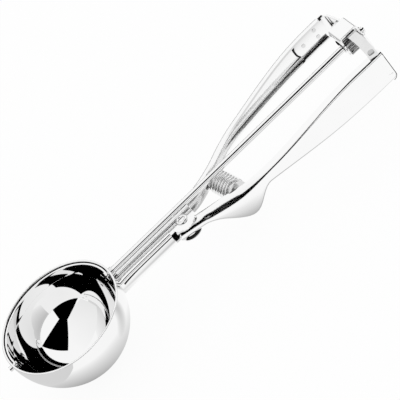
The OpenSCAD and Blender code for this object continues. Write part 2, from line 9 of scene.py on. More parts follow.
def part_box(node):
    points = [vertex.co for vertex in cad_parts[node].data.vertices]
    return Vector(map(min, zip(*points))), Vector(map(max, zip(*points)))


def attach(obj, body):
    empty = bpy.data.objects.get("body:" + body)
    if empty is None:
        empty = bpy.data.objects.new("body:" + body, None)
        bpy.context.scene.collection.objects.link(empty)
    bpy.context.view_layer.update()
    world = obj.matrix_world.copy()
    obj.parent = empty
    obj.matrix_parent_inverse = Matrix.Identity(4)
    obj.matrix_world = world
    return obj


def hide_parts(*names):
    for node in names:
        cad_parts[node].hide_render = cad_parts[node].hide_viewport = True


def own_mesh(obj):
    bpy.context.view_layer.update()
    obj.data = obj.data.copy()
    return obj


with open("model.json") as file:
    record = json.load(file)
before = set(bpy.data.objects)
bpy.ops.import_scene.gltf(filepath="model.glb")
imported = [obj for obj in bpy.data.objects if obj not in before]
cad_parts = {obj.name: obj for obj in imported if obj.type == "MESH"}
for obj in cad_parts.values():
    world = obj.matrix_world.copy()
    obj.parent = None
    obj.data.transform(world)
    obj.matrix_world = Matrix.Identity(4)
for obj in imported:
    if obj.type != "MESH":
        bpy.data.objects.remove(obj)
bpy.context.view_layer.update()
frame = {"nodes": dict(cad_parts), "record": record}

# ---------------------------------------------------------------- camera of the photograph
MM = 0.001
IMAGE_W = 400
FOCAL_PX = 2500
SENSOR_MM = 36
CAM_AZIMUTH = math.radians(-4.16)
CAM_ELEVATION = math.radians(40.67)
CAM_ROLL = math.radians(41.24)
CAM_DISTANCE = 1.0695
CAM_TARGET = Vector((3.45 * MM, 0, 23.58 * MM))
CAM_CLIP = 20

# ---------------------------------------------------------------- sizes, in millimetres
# the scraper rod lies along X at y = 0, z = 0 and the bowl centre is x = 0; to_frame() puts a piece in place
SHIFT = Vector((-74.3, 0, 29))
UP = Vector((0, 0, 1))
LEFT = Vector((0, 1, 0))
QUARTER = math.pi / 2

# sheet steel, and the small steps that keep two of its faces out of one plane
SHEET = 1
NEAR = 0.01
HAIR = 0.02
OVERLAP = 0.1
EDGE_R = 0.2
EDGE_ANGLE = 50
SMOOTH_ANGLE = 32

# thin dark faces of painted shade: how thick they are, and how far they stand off the sheet
SKIN = 0.05
SKIN_LIFT = 0.03

# bowl and blade
BOWL_R = 29
BOWL_WALL = 1
BOWL_LIP = 2.5
BOWL_RIM_R = 0.3
BOWL_FACETS = 160
BLADE_GAP = 0.4
BLADE_WIDTH = 5.2
BLADE_WALL = 0.8
BLADE_EDGE_R = 0.12
BLADE_REST = math.radians(-2)
BLADE_STEPS = 96
EYE_INSET = 0.55
EYE_FACETS = 48

# rod, from its head in the blade's eye to its tip behind the bracket
ROD_R = 1.6
ROD_HEAD_R = ROD_R + 0.7
ROD_HEAD_X = (26.1, 26.9)
ROD_NECK_R = 1.1
ROD_BODY_X = 27.6
ROD_GROOVE_R = ROD_R - 0.35
ROD_GROOVE_X = (177.1, 177.9)
ROD_GROOVE_SLOPE = 0.05
ROD_TIP_X = 179.2
ROD_CHAMFER = 0.2
ROD_FACETS = 64

# neck plate, trough and fork
PLATE_Z = -2.4
PLATE_LOW = PLATE_Z - SHEET
SEAM_Z = PLATE_LOW - 0.6
FORK_LOW = PLATE_Z - 7.8
NECK_HALF = 6
NECK_CORNER = 1.4
NECK_FLARE = 1.8
NECK_FLARE_X = (24, 40)
NECK_BITE = 0.4
NECK_INSIDE_X = BOWL_R - 1
NECK_X = 29.5
SHELL_X = 30
SHELL_END = 58
SHELL_STEP = 4
SHELL_MID = SEAM_Z - 2.3
SHELL_TOP = SEAM_Z - 0.15
NECK_END = SHELL_END + OVERLAP
# painted shade line under the lips of the neck plate: where it ends, how deep it is, and how much deeper
# near the bowl
NECK_SHADE_END = SHELL_END - 0.2
NECK_SHADE_DEPTH = 0.6
NECK_SHADE_DEEPER = 0.4
NECK_SHADE_DEEPER_X = (26, 42)

# ears and rivet of the pivot
ROUND_FACETS = 64
ROLL_FACETS = 24
PIVOT = (66, -4.5)
PIVOT_X, PIVOT_Y = PIVOT
EAR_TOP_R = 6.2
EAR_LOW_R = 5.7
EAR_SLACK = 0.2
LEVER_EAR_R = 5
LEVER_EAR_TOP = PLATE_LOW - EAR_SLACK
LEVER_EAR_LOW = FORK_LOW + SHEET + EAR_SLACK
RIVET_R = 1.7
RIVET_PAST = 0.5
RIVET_HEAD_R = 2.9
RIVET_HEAD_H = 0.9
RIVET_ROLL_R = 0.85
RIVET_DIMPLE = (PLATE_Z - 0.2, PLATE_Z + 0.15)
RIVET_DIMPLE_R = RIVET_HEAD_R - 1
RIVET_FOOT_ROUND = 0.5

# rivet of the rack
RACK_RIVET_R = 0.9
RACK_RIVET_HEAD_R = 1.5
RACK_RIVET_HEAD_H = 0.6
RACK_RIVET_ROUND = 0.45

# plan of the two arms
WEB_Y = NECK_HALF - 0.4
NOSE_X = 60
LEVER_END = 174.5
LEVER_TAIL_R = 2.5
LEVER_TAIL_X = LEVER_END - LEVER_TAIL_R
FIXED_END = 172.4
FLANGE = 4
FLANGE_BACK = 3.4
FIXED_TAIL_X = FIXED_END - FLANGE_BACK
SPREAD = 24
SWEEP_R = 380
ARC_END = 170
JOIN_X = 112
SHOULDER_R = 50
SHOULDER_TURN = math.radians(30)
LINE_TURN = math.radians(14.3)

# heights of the two arms, with the stretch of X in which each change is made
END_TOP = 4.3
FIXED_END_H = 12.4
FIXED_WAIST = PLATE_Z - 5.8
FIXED_WAIST_X = (73, 90)
FIXED_RISE_X = (94, 160)
LEVER_END_H = 16.4
LEVER_BACK = LEVER_EAR_TOP - 7
LEVER_DIP = 1.6
LEVER_DIP_X = (62, 91)
LEVER_RISE_X = (90, 160)
LEVER_DEEPEN_X = (104, 150)

# finger guard: a gentle slope, a steep one down to its point, and the way back
GUARD_DROP = 9.5
GUARD_X = 91
GUARD_ROOT = PIVOT_X + EAR_LOW_R - OVERLAP
GUARD_GENTLE = 0.4
GUARD_GENTLE_X = (GUARD_ROOT, 84)
GUARD_STEEP_X = (78, GUARD_X)
GUARD_BACK_X = (GUARD_X, 105)

# corners of the arms; the lever's upper one is rounder along its shoulder
ARM_TOP_R = 2.6
ARM_LOW_R = 1.5
WEB_ROWS = (0.66, 0.33)
CORNER_STEPS = 10
LEVER_TOP_R = 1.4
LEVER_ROUNDER = 2.2
LEVER_ROUNDEST = 0.8
LEVER_ROUNDEST_X = (71, 86)
LEVER_ROUNDER_X = (86, 110)
LEVER_WEB_LEAST = 1.8
LEVER_LIP_LEAST = 0.4
# painted dark reflection down the lever's rear end: its rows in from the outer face, and its gap below the
# top
DARK_EDGE_ROWS = (0.05, 0.2, 0.35)
DARK_EDGE_TOP = 0.3

# return spring
SPRING_FAR = Vector((89.4, 3.8, -8.4))
SPRING_NEAR = Vector((91.4, -9.3, -8.4))
WIRE_R = 0.65
WIRE_FACETS = 14
COIL_R = 4.9
COIL_TURNS = 6.5
COIL_FACETS = 40

# bracket at the end of the fixed handle: weld plate, bend, rear wall round the pivot, and cage
BRACKET_X = 153
BRACKET_TOP = END_TOP - SHEET - 0.3
BRACKET_LOW = END_TOP - FIXED_END_H + SHEET + 0.6
BRACKET_CORNER = 3.4
BRACKET_BEND = 4.5
BRACKET_GAP = 0.05
WALL_R = math.hypot(175.8 - PIVOT_X, PIVOT_Y)
WALL_OUT = WALL_R + SHEET
WALL_END_Y = -6.5
STRAP_OUTWARDS = Vector((0.5, 0.9, 0))
BEND_Y = SPREAD - SHEET - BRACKET_GAP - BRACKET_BEND
BEND_X = PIVOT_X + math.sqrt((WALL_OUT - BRACKET_BEND) ** 2 - (BEND_Y - PIVOT_Y) ** 2)
BEND_TO = math.atan2(BEND_Y - PIVOT_Y, BEND_X - PIVOT_X)
WALL_TO = math.asin((WALL_END_Y - PIVOT_Y) / WALL_OUT)
CAGE_X = 166.7
CAGE_Y = (-3.2, 6.4)
CAGE_TOP = 7.475
CAGE_BEND = 1.6
CAGE_EAR_R = 4.9
CAGE_INSET = 0.3

# dark faces of painted shade in the fork and at the end of the fixed handle
EAR_EDGE_LOW = 0.4
FORK_WEB_X = SHELL_END - 0.8
FORK_FLOOR_X = SHELL_END + 0.3
END_CORNER_X = (FIXED_TAIL_X + 0.8, FIXED_END - 0.2)
END_CORNER_W = 1.2
END_CORNER_H = 1
PLATE_SHADE_W = 0.7
PLATE_SHADE_END = BRACKET_X + 6
PLATE_SHADE_STEP = 0.2
FLOOR_STRIP_X = (BRACKET_X - 16, BRACKET_X + 6)
FLOOR_STRIP_END = FIXED_TAIL_X - 0.2
FLOOR_STRIP_IN = 2.1
FLOOR_STRIP_W = 1.1


# ---------------------------------------------------------------- plan and heights of the arms
def ramp(x, a, b):
    """Straight step from 0 to 1 between a and b."""
    return min(max((x - a) / (b - a), 0), 1)


def ease(x, a, b):
    """Smooth step from 0 to 1 between a and b."""
    return (1 - math.cos(math.pi * ramp(x, a, b))) / 2


def between(a, b, count):
    """Even steps from a to b."""
    return [a + (b - a) * k / count for k in range(count + 1)]


def stations(a, b, step=1.5):
    """Even steps from a to b, none longer than the given one."""
    return between(a, b, math.ceil((b - a) / step))


def on_circle(centre, radius, angles):
    """Points of a circle at the given angles."""
    return [(centre[0] + radius * math.cos(a), centre[1] + radius * math.sin(a)) for a in angles]


def quarter_round(radius, steps=5):
    """Corner as pairs of distances from its two faces, from the end on one face to the end on the other."""
    return [(radius * (1 - math.sin(a)), radius * (1 - math.cos(a))) for a in between(0, QUARTER, steps)]


# fixed handle: neck line, flare, shoulder and one long arc; lever: a straight line into the same arc
JOIN_TURN = math.asin((ARC_END - JOIN_X) / SWEEP_R)
JOIN_Y = SPREAD - SWEEP_R * (1 - math.cos(JOIN_TURN))
SHOULDER_MID = (JOIN_X + SHOULDER_R * math.sin(JOIN_TURN), JOIN_Y - SHOULDER_R * math.cos(JOIN_TURN))
SHOULDER_X = JOIN_X - SHOULDER_R * (math.sin(SHOULDER_TURN) - math.sin(JOIN_TURN))
SHOULDER_Y = JOIN_Y - SHOULDER_R * (math.cos(JOIN_TURN) - math.cos(SHOULDER_TURN))
FLARE_R = (SHOULDER_Y - WEB_Y) / (1 - math.cos(SHOULDER_TURN))
FLARE_X = SHOULDER_X - FLARE_R * math.sin(SHOULDER_TURN)
LINE_X = ARC_END - SWEEP_R * math.sin(LINE_TURN)
LINE_Y = SPREAD - SWEEP_R * (1 - math.cos(LINE_TURN))


def long_arc(x):
    """The arc that both arms share, level behind its end."""
    if x >= ARC_END:
        return SPREAD
    return SPREAD - SWEEP_R + math.sqrt(SWEEP_R ** 2 - (ARC_END - x) ** 2)


def fixed_y(x):
    """How far the outer face of the fixed handle lies from the rod at x."""
    if x <= FLARE_X:
        return WEB_Y
    if x <= SHOULDER_X:
        return WEB_Y + FLARE_R - math.sqrt(FLARE_R ** 2 - (x - FLARE_X) ** 2)
    if x <= JOIN_X:
        return SHOULDER_MID[1] + math.sqrt(SHOULDER_R ** 2 - (x - SHOULDER_MID[0]) ** 2)
    return long_arc(x)


def lever_y(x):
    """How far the outer face of the lever lies from the rod at x."""
    return LINE_Y - (LINE_X - x) * math.tan(LINE_TURN) if x <= LINE_X else long_arc(x)


def fixed_top(x):
    """Height of the fixed handle's upper edge at x."""
    return PLATE_Z + (END_TOP - PLATE_Z) * ease(x, *FIXED_RISE_X)


def fixed_low(x):
    """Height of the fixed handle's lower edge: low at the fork, in at the waist, low again to the rear."""
    low = FORK_LOW + (FIXED_WAIST - FORK_LOW) * ease(x, *FIXED_WAIST_X)
    return low + (END_TOP - FIXED_END_H - FIXED_WAIST) * ease(x, *FIXED_RISE_X)


def lever_top(x):
    """Height of the lever's upper edge, which dips behind its ears and rises to the rear."""
    dip = LEVER_DIP * ramp(x, *LEVER_DIP_X)
    return LEVER_EAR_TOP - dip + (END_TOP - LEVER_EAR_TOP + LEVER_DIP) * ease(x, *LEVER_RISE_X)


def guard(x):
    """Share of the guard's full drop at x."""
    if x < GUARD_X:
        return GUARD_GENTLE * ease(x, *GUARD_GENTLE_X) + (1 - GUARD_GENTLE) * ease(x, *GUARD_STEEP_X)
    return 1 - ease(x, *GUARD_BACK_X)


def lever_low(x):
    """Height of the lever's lower edge, with the finger guard."""
    back = LEVER_EAR_LOW + (LEVER_BACK - LEVER_EAR_LOW) * ease(x, GUARD_ROOT, GUARD_X)
    return back - GUARD_DROP * guard(x) + (END_TOP - LEVER_END_H - LEVER_BACK) * ease(x, *LEVER_DEEPEN_X)


# ---------------------------------------------------------------- modelling
def fresh():
    """Leaves edit mode and selects nothing."""
    if bpy.context.object and bpy.context.object.mode != "OBJECT":
        bpy.ops.object.mode_set(mode="OBJECT")
    bpy.ops.object.select_all(action="DESELECT")


def named(name):
    """Names the new piece and applies its place, so that its origin stays unturned and unscaled."""
    piece = bpy.context.object
    piece.name = name
    bpy.ops.object.transform_apply(location=True, rotation=True, scale=True)
    return piece


def pick(piece):
    """Makes a piece the only one selected, and active."""
    fresh()
    bpy.context.view_layer.objects.active = piece
    piece.select_set(True)


def modify(piece, kind, **settings):
    """Adds a modifier and applies it."""
    modifier = piece.modifiers.new(kind.lower(), kind)
    for name, value in settings.items():
        setattr(modifier, name, value)
    pick(piece)
    bpy.ops.object.modifier_apply(modifier=modifier.name)
    return piece


def soften(piece, width=EDGE_R, segments=3, angle=EDGE_ANGLE):
    """Rounds every edge sharper than the angle."""
    return modify(piece, "BEVEL", width=width, segments=segments, limit_method="ANGLE",
                  angle_limit=math.radians(angle), harden_normals=False)


def thicken(piece, wall=SHEET):
    """Gives a sheet its thickness, inwards from its outer face."""
    return modify(piece, "SOLIDIFY", thickness=wall, offset=-1, use_even_offset=True)


def edit(piece, picked):
    """Opens edit mode with only the vertices that picked() accepts selected."""
    pick(piece)
    bpy.ops.object.mode_set(mode="EDIT")
    bpy.ops.mesh.select_mode(type="VERT")
    shape = bmesh.from_edit_mesh(piece.data)
    for v in shape.verts:
        v.select = picked(v.co)
    shape.select_flush(True)
    bmesh.update_edit_mesh(piece.data)


def lofted(name, places, section, outwards):
    """A grid whose rows are laid through section(place), the outer face of a pressed sheet."""
    fresh()
    columns = len(places)
    rows = len(section(places[0]))
    bpy.ops.mesh.primitive_grid_add(x_subdivisions=columns - 1, y_subdivisions=rows - 1, size=2)
    piece = named(name)
    for v in piece.data.vertices:
        i = round((v.co.x + 1) / 2 * (columns - 1))
        j = round((v.co.y + 1) / 2 * (rows - 1))
        v.co = section(places[i])[j]
    piece.data.update()
    if sum(f.normal.dot(outwards) for f in piece.data.polygons) < 0:
        piece.data.flip_normals()
    return piece


def joined(first, *others):
    """Puts pieces together as one object, which keeps the first one's name."""
    fresh()
    for piece in (first, *others):
        piece.select_set(True)
    bpy.context.view_layer.objects.active = first
    bpy.ops.object.join()
    return first


def fused(piece, other):
    """Unites two closed forms."""
    modify(piece, "BOOLEAN", operation="UNION", solver="EXACT", object=other)
    bpy.data.objects.remove(other)
    return piece


def disc(name, centre, radius, low, high, vertices=96):
    """Upright cylinder between two heights."""
    fresh()
    bpy.ops.mesh.primitive_cylinder_add(vertices=vertices, radius=radius, depth=high - low,
                                        location=(centre[0], centre[1], (low + high) / 2))
    return named(name)


def disc_along_x(name, x, radius, depth, vertices):
    """Cylinder along X, centred on the rod's axis."""
    fresh()
    bpy.ops.mesh.primitive_cylinder_add(vertices=vertices, radius=radius, depth=depth,
                                        rotation=(0, QUARTER, 0), location=(x, 0, 0))
    return named(name)


def block(name, low, high):
    """Box between two corners."""
    fresh()
    bpy.ops.mesh.primitive_cube_add(size=1, location=[(a + b) / 2 for a, b in zip(low, high)],
                                    scale=[b - a for a, b in zip(low, high)])
    return named(name)


def upright(x, y, top, low):
    """Column of points down a web."""
    return [Vector((x, y, z)) for z in between(top, low, 4)]


def to_frame(piece, body, finish, *replaced):
    """Puts a finished piece at its place in the frame, with its finish and its body, and hides the parts it
    stands for.
    """
    piece.data.transform(Matrix.Scale(MM, 4) @ Matrix.Translation(SHIFT))
    piece.data.materials.clear()
    piece.data.materials.append(FINISHES[finish])
    pick(piece)
    bpy.ops.object.shade_smooth_by_angle(angle=math.radians(SMOOTH_ANGLE))
    if finish != "wire":
        modify(piece, "WEIGHTED_NORMAL", mode="FACE_AREA", keep_sharp=True)
    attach(piece, body)
    if replaced:
        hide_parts(*replaced)
    return piece


# ---------------------------------------------------------------- shader nodes
class Sock:
    """A socket or number that builds Math nodes from Python's own operators."""

    def __init__(self, finish, value):
        self.finish = finish
        self.value = value

    def math(self, operation, other):
        return self.finish.add("ShaderNodeMath", {"operation": operation}, {0: self, 1: other})

    def __add__(self, other):
        return self.math("ADD", other)

    def __sub__(self, other):
        return self.math("SUBTRACT", other)

    def __mul__(self, other):
        return self.math("MULTIPLY", other)


# numbered sockets of the Mix node when it mixes colours
MIX_FACTOR, MIX_LOW, MIX_HIGH, MIX_RESULT = 0, 6, 7, 2


class Finish:
    """A material and the nodes it is built from."""

    def __init__(self, name):
        self.material = bpy.data.materials.new(name)
        self.material.use_nodes = True
        self.tree = self.material.node_tree
        self.tree.nodes.clear()

    def add(self, kind, settings=None, inputs=None, output=0):
        node = self.tree.nodes.new(kind)
        for name, value in (settings or {}).items():
            setattr(node, name, value)
        for name, value in (inputs or {}).items():
            value = value.value if isinstance(value, Sock) else value
            if isinstance(value, bpy.types.NodeSocket):
                self.tree.links.new(value, node.inputs[name])
            else:
                node.inputs[name].default_value = value
        return Sock(self, node.outputs[output]) if node.outputs else node

    def place(self):
        """Where a point lies in the object's own coordinates."""
        return self.add("ShaderNodeTexCoord", output="Object")

    def noise(self, scale, stretch=(1, 1, 1), detail=1.0):
        """Noise in the object's own coordinates, stretched by axis."""
        placed = self.add("ShaderNodeMapping", inputs={"Vector": self.place(), "Scale": stretch})
        return self.add("ShaderNodeTexNoise", inputs={"Vector": placed, "Scale": scale, "Detail": detail})

    def blend(self, factor, low, high):
        colours = {MIX_FACTOR: factor, MIX_LOW: grey(low), MIX_HIGH: grey(high)}
        return self.add("ShaderNodeMix", {"data_type": "RGBA"}, colours, output=MIX_RESULT)

    def bump(self, strength, depth, height):
        return self.add("ShaderNodeBump", inputs={"Strength": strength, "Distance": depth, "Height": height})

    def surface(self, **sockets):
        """Finishes the material; an underscore in a name stands for the blank in the socket's name."""
        values = {name.replace("_", " "): value for name, value in sockets.items()}
        self.show(self.add("ShaderNodeBsdfPrincipled", inputs=values))
        return self.material

    def glow(self, colour):
        return self.add("ShaderNodeEmission", inputs={"Color": colour, "Strength": 1.0})

    def show(self, shader):
        self.add("ShaderNodeOutputMaterial", inputs={"Surface": shader})


def grey(level):
    return (level, level, level, 1)


# noise of the steel in cycles per metre, how deep it is in metres, and its share in the roughness
HAZE = 60
HAZE_SHARE = 0.2
HAIRLINE = 4000
HAIRLINE_STRETCH = (0.03, 1, 1)
HAIRLINE_SHARE = 0.15
EVEN_SHARE = 0.8
RIPPLE = 35
RIPPLE_DEPTH = 0.0004
STAIN = 300
STAIN_DETAIL = 4.0
RINGS = 1400
RINGS_STRETCH = (6, 1, 1)
RINGS_STRENGTH = 0.08
RINGS_DEPTH = 0.0001
TURNED_SHARE = 0.1


def mirror_steel(name, low, high, rough, wave):
    """Polished stainless sheet: faint haze, hairlines of the polishing wheel and soft waviness."""
    f = Finish(name)
    haze = f.noise(HAZE, detail=2.0)
    hairline = f.noise(HAIRLINE, HAIRLINE_STRETCH)
    ripple = f.noise(RIPPLE)
    return f.surface(
        Base_Color=f.blend(haze, low, high),
        Metallic=1.0,
        Roughness=haze * (HAZE_SHARE * rough) + hairline * (HAIRLINE_SHARE * rough) + EVEN_SHARE * rough,
        Normal=f.bump(wave, RIPPLE_DEPTH, ripple))


def turned_steel(name, low, high, rough):
    """Machined steel: fine rings of the tool across the axis, a little darker."""
    f = Finish(name)
    stain = f.noise(STAIN, detail=STAIN_DETAIL)
    rings = f.noise(RINGS, RINGS_STRETCH, detail=2.0)
    return f.surface(
        Base_Color=f.blend(stain, low, high),
        Metallic=1.0,
        Roughness=stain * TURNED_SHARE + rings * TURNED_SHARE + rough,
        Normal=f.bump(RINGS_STRENGTH, RINGS_DEPTH, rings))


def painted_shade_finish(name, low, high):
    """Matt, almost black steel for the thin dark faces: painted shade and painted dark reflections."""
    f = Finish(name)
    stain = f.noise(STAIN, detail=STAIN_DETAIL)
    return f.surface(
        Base_Color=f.blend(stain, low, high),
        Metallic=0.2,
        Roughness=0.9,
        Specular_IOR_Level=0.1)


FINISHES = {
    "polished": mirror_steel("polished_steel", low=0.90, high=0.94, rough=0.015, wave=0.03),
    "sheet": mirror_steel("pressed_sheet_steel", low=0.93, high=0.96, rough=0.12, wave=0.006),
    # painted shade: the near-black finish of the thin dark faces
    "painted_shade": painted_shade_finish("painted_shade_steel", low=0.01, high=0.03),
    "machined": turned_steel("machined_steel", low=0.72, high=0.84, rough=0.06),
    # painted shade: a darker copy of the machined steel, for the pinion in its cage and the rack rivet
    "shaded_machined": turned_steel("shaded_machined_steel", low=0.45, high=0.65, rough=0.04),
    "wire": mirror_steel("spring_wire", low=0.90, high=0.94, rough=0.05, wave=0.0),
}


# ---------------------------------------------------------------- bowl, blade and rod
def bowl():
    """Spun half sphere with a short straight lip and a rounded rim."""
    fresh()
    bpy.ops.mesh.primitive_uv_sphere_add(segments=BOWL_FACETS, ring_count=BOWL_FACETS // 2, radius=BOWL_R)
    piece = named("bowl_shell")
    edit(piece, lambda co: True)
    bpy.ops.mesh.bisect(plane_co=(0, 0, 0), plane_no=UP, clear_outer=True)
    edit(piece, lambda co: co.z > -NEAR)
    bpy.ops.mesh.extrude_region_move(TRANSFORM_OT_translate={"value": BOWL_LIP * UP})
    bpy.ops.object.mode_set(mode="OBJECT")
    thicken(piece, BOWL_WALL)
    soften(piece, BOWL_RIM_R)
    to_frame(piece, "frame", "polished", "bowl")


def blade():
    """Half-ring band that hugs the inside of the bowl, with a round eye at each end."""
    outer = BOWL_R - BOWL_WALL - BLADE_GAP
    half = BLADE_WIDTH / 2

    def section(turn):
        rings = [(math.sqrt(outer ** 2 - z ** 2), z) for z in between(-half, half, 6)]
        return [Vector((ring * math.cos(turn), ring * math.sin(turn), z)) for ring, z in rings]

    piece = thicken(lofted("blade_band", between(0, math.pi, BLADE_STEPS), section, LEFT), BLADE_WALL)
    for side in (-1, 1):
        eye = disc_along_x("blade_eye", side * (outer - EYE_INSET), half, BLADE_WALL, EYE_FACETS)
        piece = joined(piece, eye)
    soften(piece, BLADE_EDGE_R, segments=2, angle=40)
    piece.data.transform(Matrix.Rotation(BLADE_REST, 4, "X"))
    to_frame(piece, "scraper", "polished", "scraper_blade")


def rod():
    """Plain rod with rounded ends, a head inside the blade's eye and a groove for the ring."""
    head_x, neck_x = ROD_HEAD_X
    groove_x, groove_end = ROD_GROOVE_X
    outline = [
        (head_x, 0),
        (head_x, ROD_HEAD_R - ROD_CHAMFER),
        (head_x + ROD_CHAMFER, ROD_HEAD_R),
        (neck_x, ROD_HEAD_R),
        (neck_x, ROD_NECK_R),
        (ROD_BODY_X, ROD_NECK_R),
        (ROD_BODY_X, ROD_R - ROD_CHAMFER),
        (ROD_BODY_X + ROD_CHAMFER, ROD_R),
        (groove_x, ROD_R),
        (groove_x + ROD_GROOVE_SLOPE, ROD_GROOVE_R),
        (groove_end - ROD_GROOVE_SLOPE, ROD_GROOVE_R),
        (groove_end, ROD_R),
        (ROD_TIP_X - 2 * ROD_CHAMFER, ROD_R),
        (ROD_TIP_X, ROD_R - 2 * ROD_CHAMFER),
        (ROD_TIP_X, 0),
    ]

    def section(point):
        x, radius = point
        return [Vector((x, y, z)) for y, z in on_circle((0, 0), radius, between(0, 4 * QUARTER, ROD_FACETS))]

    piece = lofted("rod_turned", outline, section, UP)
    edit(piece, lambda co: True)
    bpy.ops.mesh.remove_doubles(threshold=0.001)
    bpy.ops.mesh.normals_make_consistent(inside=False)
    bpy.ops.object.mode_set(mode="OBJECT")
    to_frame(piece, "scraper", "polished", "scraper_rod")


# ---------------------------------------------------------------- neck and fixed handle
def against_bowl(x, outline):
    """Neck section of points (y, z) at x; inside the bowl's wall it lies on the bowl."""
    radius = BOWL_R - NECK_BITE
    if x < BOWL_R:
        return [Vector((math.sqrt(radius ** 2 - y ** 2 - z ** 2), y, z)) for y, z in outline]
    return [Vector((x, y, z)) for y, z in outline]


def neck_half(x):
    """Half width of the neck plate, which flares where it meets the bowl."""
    return NECK_HALF + NECK_FLARE * (1 - math.sqrt(1 - (1 - ease(x, *NECK_FLARE_X)) ** 2))


def neck_plate():
    """Top of the neck with its turned-down lips."""
    def section(x):
        half = neck_half(x)
        left = [(-half, SEAM_Z), (-half, (SEAM_Z + PLATE_Z - NECK_CORNER) / 2)]
        left += [(-half + d, PLATE_Z - z) for z, d in quarter_round(NECK_CORNER)]
        right = [(-y, z) for y, z in reversed(left)]
        return against_bowl(x, left + [(0, PLATE_Z)] + right)

    return thicken(lofted("neck_plate", [NECK_INSIDE_X] + stations(NECK_X, NECK_END), section, UP))


def neck_shade_line():
    """Painted shade: dark line under the lips of the neck plate, deeper where it meets the bowl."""
    def section(x):
        top = SEAM_Z + SKIN
        depth = NECK_SHADE_DEPTH + NECK_SHADE_DEEPER * (1 - ease(x, *NECK_SHADE_DEEPER_X))
        return upright(x, -neck_half(x) - HAIR, top, top - depth)

    line = lofted("neck_shade_line", stations(NECK_X, NECK_SHADE_END), section, -LEFT)
    to_frame(thicken(line, SKIN), "frame", "painted_shade")


def neck_trough():
    """Half-round trough under the neck plate, closed by the bowl in front and open behind."""
    round_part = on_circle((0, SHELL_MID), NECK_HALF, between(2 * QUARTER, 4 * QUARTER, 24))
    outline = [(-NECK_HALF, SHELL_TOP)] + round_part + [(NECK_HALF, SHELL_TOP)]
    places = [NECK_INSIDE_X] + stations(SHELL_X, SHELL_END, SHELL_STEP)
    piece = thicken(lofted("neck_trough", places, lambda x: against_bowl(x, outline), -UP))
    to_frame(soften(piece), "frame", "sheet", "neck_shell")


def channel(x, outline, side, top, low, round_top, round_low, flange):
    """Outer face of a channel-shaped arm at x: turned-in edge, corner, web, corner, turned-in edge."""
    slope = (outline(x + NEAR) - outline(x - NEAR)) / (2 * NEAR)
    inward = Vector((slope, -side, 0)).normalized()
    edge = Vector((x, side * outline(x), 0))
    web_top, web_low = top - round_top, low + round_low
    depth_z = [(flange, top)]
    depth_z += [(d, top - z) for d, z in quarter_round(round_top, CORNER_STEPS)]
    depth_z += [(0, web_low + (web_top - web_low) * share) for share in WEB_ROWS]
    depth_z += [(d, low + z) for d, z in reversed(quarter_round(round_low))]
    depth_z += [(flange, low)]
    return [edge + inward * d + z * UP for d, z in depth_z]


def fork_ear(name, radius, z, y0):
    """Ear of the fork with the plate that ties it to the web, a hair thinner than the edge it runs into."""
    low, high = z + HAIR, z + SHEET - HAIR
    web = WEB_Y - SHEET / 2
    ear = disc(name, PIVOT, radius, low, high)
    fused(ear, block("ear_tie", (NECK_END, y0, low), (PIVOT_X, web, high)))
    fused(ear, block("ear_back", (PIVOT_X - OVERLAP, PIVOT_Y, low), (PIVOT_X + radius, web, high)))
    return ear


def fixed_arm():
    """Channel-shaped part of the fixed handle."""
    def section(x):
        return channel(x, fixed_y, 1, fixed_top(x), fixed_low(x), ARM_TOP_R, ARM_LOW_R, FLANGE)

    return thicken(lofted("fixed_arm", stations(NECK_END, FIXED_TAIL_X), section, LEFT))


def fixed_tail():
    """Rear end of the fixed handle, where the web goes on without its turned-in edges."""
    def section(x):
        return upright(x, fixed_y(x), fixed_top(x) - ARM_LOW_R, fixed_low(x) + ARM_LOW_R)

    return thicken(lofted("fixed_tail", stations(FIXED_TAIL_X, FIXED_END), section, LEFT))


def fixed_handle():
    """One pressed sheet: neck plate with turned-down lips, pivot fork and channel-shaped arm."""
    piece = joined(neck_plate(), fixed_arm(), fixed_tail(),
                   fork_ear("ear_top", EAR_TOP_R, PLATE_LOW, -NECK_HALF),
                   fork_ear("ear_low", EAR_LOW_R, FORK_LOW, PIVOT_Y))
    piece.name = "fixed_handle_sheet"
    to_frame(soften(piece), "frame", "sheet", "fixed_handle")


# ---------------------------------------------------------------- lever
def lever_end_edge():
    """Painted dark reflection: thin dark face down the rear end of the lever."""
    top, low = lever_top(LEVER_END) - DARK_EDGE_TOP, lever_low(LEVER_END) + LEVER_TAIL_R
    path = [(0, z) for z in between(top, low, 8)[:-1]]
    path += [(turn, low) for turn in between(0, QUARTER, 8)]

    def section(point):
        turn, z = point
        row = []
        for inset in DARK_EDGE_ROWS:
            radius = LEVER_TAIL_R - inset
            x = LEVER_TAIL_X + radius * math.cos(turn)
            row.append(Vector((x, -lever_y(x) - SKIN_LIFT, z - radius * math.sin(turn))))
        return row

    piece = thicken(lofted("lever_end_edge", path, section, -LEFT), SKIN)
    to_frame(piece, "lever", "painted_shade")


def lever_corner(x):
    """Radius of the lever's upper corner, as far as the height of the web allows it."""
    rounder = LEVER_ROUNDER + LEVER_ROUNDEST * ease(x, *LEVER_ROUNDEST_X)
    wanted = LEVER_TOP_R + rounder * (1 - ease(x, *LEVER_ROUNDER_X))
    return min(wanted, lever_top(x) - lever_low(x) - LEVER_WEB_LEAST)


def lever_underside(x):
    """Lower edge of the lever with its rounded rear end."""
    past = max(x - LEVER_TAIL_X, 0)
    return lever_low(x) + LEVER_TAIL_R - math.sqrt(max(LEVER_TAIL_R ** 2 - past ** 2, 0))


